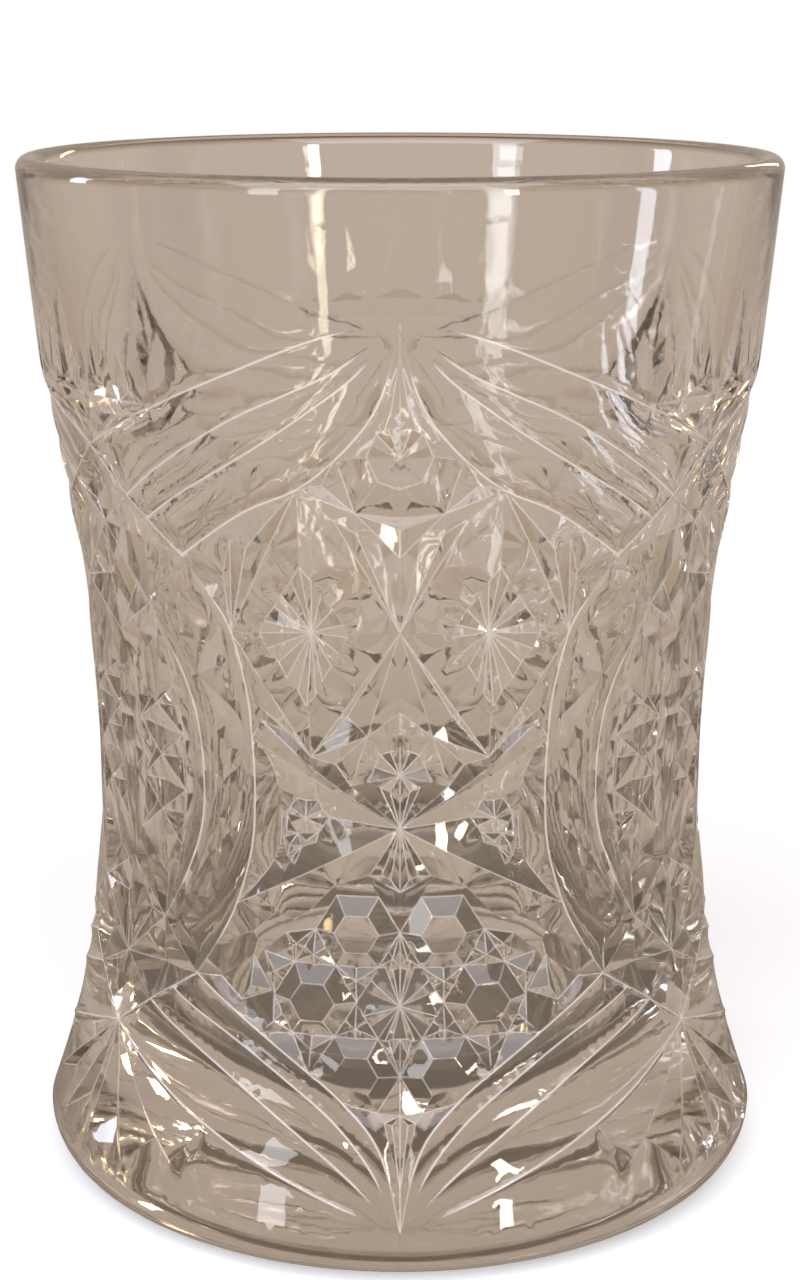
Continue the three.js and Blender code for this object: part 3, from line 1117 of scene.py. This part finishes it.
def room_world(look):
    """The room that the glass shows: warm grey behind, a dark brown strip at the sides, paler in
    front and dimmer below. The backdrop itself is white."""
    around = (
        (0.0, "#b8a999"),
        (0.34, "#a59584"),
        (0.42, "#7d6957"),
        (0.465, "#4a3022"),
        (0.5, "#553c2e"),
        (0.57, look.room_colour),
    )
    upright = (
        (0.0, "#66584a"),
        (0.2, "#7d6e5d"),
        (0.33, "#e9e0d4"),
        (0.4, "#ffffff"),
        (1.0, "#ffffff"),
    )
    world = bpy.data.worlds.new("warm_room")
    tree = emptied(world)
    place = node(tree, "ShaderNodeTexCoord")
    facing = node(tree, "ShaderNodeSeparateXYZ", Vector=place.outputs["Generated"])
    colours = {}
    for socket, axis, stops in (("6", "Y", around), ("7", "Z", upright)):
        share = remap(tree, facing.outputs[axis], -1.0, 1.0, 0.0, 1.0)
        shades = node(tree, "ShaderNodeValToRGB", Fac=share)
        elements = shades.color_ramp.elements
        elements.remove(elements[1])
        elements[0].position, elements[0].color = stops[0][0], linear(stops[0][1])
        for position, colour in stops[1:]:
            elements.new(position).color = linear(colour)
        colours[socket] = shades.outputs[0]
    multiply = {"data_type": "RGBA", "blend_type": "MULTIPLY"}
    shade = node(tree, "ShaderNodeMix", multiply, **{"0": 1.0}, **colours)
    room = node(tree, "ShaderNodeBackground", Color=shade.outputs[2], Strength=1.0)
    white = node(tree, "ShaderNodeBackground", Color=linear("#ffffff"), Strength=1.0)
    seen = node(tree, "ShaderNodeLightPath").outputs["Is Camera Ray"]
    mix = node(tree, "ShaderNodeMixShader", Fac=seen, **{"1": room.outputs[0], "2": white.outputs[0]})
    node(tree, "ShaderNodeOutputWorld", Surface=mix.outputs[0])
    return world


def area_light(name, at, size, watts, colour):
    """A soft rectangular lamp that faces the middle of the tumbler."""
    data = bpy.data.lights.new(name, "AREA")
    data.shape = "RECTANGLE"
    data.size, data.size_y = size
    data.energy = watts
    data.color = linear(colour)[:3]
    lamp = bpy.data.objects.new(name, data)
    lamp.location = at
    towards = Vector((0, 0, BODY_HIGH.z * 0.5)) - at
    lamp.rotation_euler = towards.to_track_quat("-Z", "Y").to_euler()
    lamp.visible_camera = False
    bpy.context.scene.collection.objects.link(lamp)
    return lamp


def polar(distance, azimuth, elevation):
    """A place round the tumbler: azimuth 0 is in front, 90 to its right; degrees and metres."""
    a, e = math.radians(azimuth), math.radians(elevation)
    flat = distance * math.cos(e)
    return Vector((flat * math.sin(a), -flat * math.cos(a), distance * math.sin(e)))


# ---- operators


class TUMBLER_OT_glass_body(bpy.types.Operator):
    """Build the pressed-glass body with its pattern, in place of the plain solid"""

    bl_idname = "tumbler.glass_body"
    bl_label = "Glass body"

    def execute(self, context):
        sizes, look = context.scene.tumbler_sizes, context.scene.tumbler_look
        glass = pressed_soda_lime_glass(look)
        half = bpy.data.objects.new("half_panel", half_panel_mesh(sizes))
        half.data.materials.append(glass)
        context.scene.collection.objects.link(half)
        tree = panels_tree()
        modifier = half.modifiers.new("Panels", "NODES")
        modifier.node_group = tree
        inputs = [item for item in tree.interface.items_tree if item.in_out == "INPUT"]
        sockets = {item.name: item.identifier for item in inputs}
        modifier[sockets["Panels"]] = PANELS
        modifier[sockets["Weld distance"]] = WELD
        modifier[sockets["Glass"]] = glass
        context.view_layer.update()
        settled = half.evaluated_get(context.evaluated_depsgraph_get())
        mesh = bpy.data.meshes.new_from_object(settled)
        bpy.data.objects.remove(half)
        mesh.name = "pressed_glass_body"
        shell = bmesh.new()
        shell.from_mesh(mesh)
        bmesh.ops.recalc_face_normals(shell, faces=shell.faces)
        shell.to_mesh(mesh)
        shell.free()
        body = bpy.data.objects.new("pressed_glass_body", mesh)
        context.scene.collection.objects.link(body)
        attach(body, "root")
        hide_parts("glass_body")
        return {"FINISHED"}


class TUMBLER_OT_stage(bpy.types.Operator):
    """Lay the pale floor and set the room, the soft lamps and the camera"""

    bl_idname = "tumbler.stage"
    bl_label = "Stage"

    def execute(self, context):
        scene, look = context.scene, context.scene.tumbler_look
        mesh = bpy.data.meshes.new("floor")
        circle = arc(0.0, 0.0, FLOOR_RADIUS, FLOOR_RADIUS, 0, 360, 128)[:-1]
        mesh.from_pydata([(x, y, -FLOOR_DROP) for x, y in circle], [], [tuple(range(len(circle)))])
        mesh.materials.append(matt_paper(look))
        floor = bpy.data.objects.new("floor", mesh)
        scene.collection.objects.link(floor)
        floor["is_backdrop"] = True

        scene.world = room_world(look)
        ceiling = area_light("ceiling", polar(0.9, -6, 52), (1.2, 0.8), 11.0, "#f4f4ff")
        ceiling.visible_transmission = False
        area_light("left_window", polar(0.7, -38, 14), (0.1, 0.34), 0.8, "#eef2f8")
        area_light("right_lamp", polar(0.7, 31, 13), (0.045, 0.26), 1.1, "#fff3dc")
        area_light("warm_bulb", polar(0.6, 152, 24), (0.03, 0.16), 0.24, "#ffdba6")
        area_light("cool_pane", polar(0.6, -104, 16), (0.08, 0.2), 0.55, "#e3ecff")

        data = bpy.data.cameras.new("camera")
        data.lens = CAMERA_LENS
        camera = bpy.data.objects.new("camera", data)
        camera.location = CAMERA_AT
        camera.rotation_euler = (math.radians(90 - CAMERA_DOWN), 0.0, 0.0)
        scene.collection.objects.link(camera)
        scene.camera = camera
        scene.view_settings.view_transform = "Standard"
        # light passes many facets of cut-look glass before it leaves
        scene.cycles.max_bounces = 24
        scene.cycles.glossy_bounces = 16
        scene.cycles.transmission_bounces = 24
        return {"FINISHED"}


class TUMBLER_PT_panel(bpy.types.Panel):
    """The tumbler's sizes, its look and the steps that build it"""

    bl_idname = "TUMBLER_PT_panel"
    bl_label = "Pressed-glass tumbler"
    bl_space_type = "VIEW_3D"
    bl_region_type = "UI"
    bl_category = "Tumbler"

    def draw(self, context):
        for group in (context.scene.tumbler_sizes, context.scene.tumbler_look):
            box = self.layout.box()
            for name in group.__annotations__:
                box.prop(group, name)
        for operator in (TUMBLER_OT_stage, TUMBLER_OT_glass_body):
            self.layout.operator(operator.bl_idname)


CLASSES = (TumblerSizes, TumblerLook, TUMBLER_OT_stage, TUMBLER_OT_glass_body, TUMBLER_PT_panel)


def register():
    for cls in CLASSES:
        bpy.utils.register_class(cls)
    bpy.types.Scene.tumbler_sizes = bpy.props.PointerProperty(type=TumblerSizes)
    bpy.types.Scene.tumbler_look = bpy.props.PointerProperty(type=TumblerLook)


def unregister():
    del bpy.types.Scene.tumbler_look
    del bpy.types.Scene.tumbler_sizes
    for cls in reversed(CLASSES):
        bpy.utils.unregister_class(cls)


def main():
    register()
    bpy.ops.tumbler.stage()
    bpy.ops.tumbler.glass_body()
    boxes = {"cad": CAD_BOX, "visual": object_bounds()}
    boxes = {name: [list(corner) for corner in box] for name, box in boxes.items()}


if __name__ == "__main__":
    main()
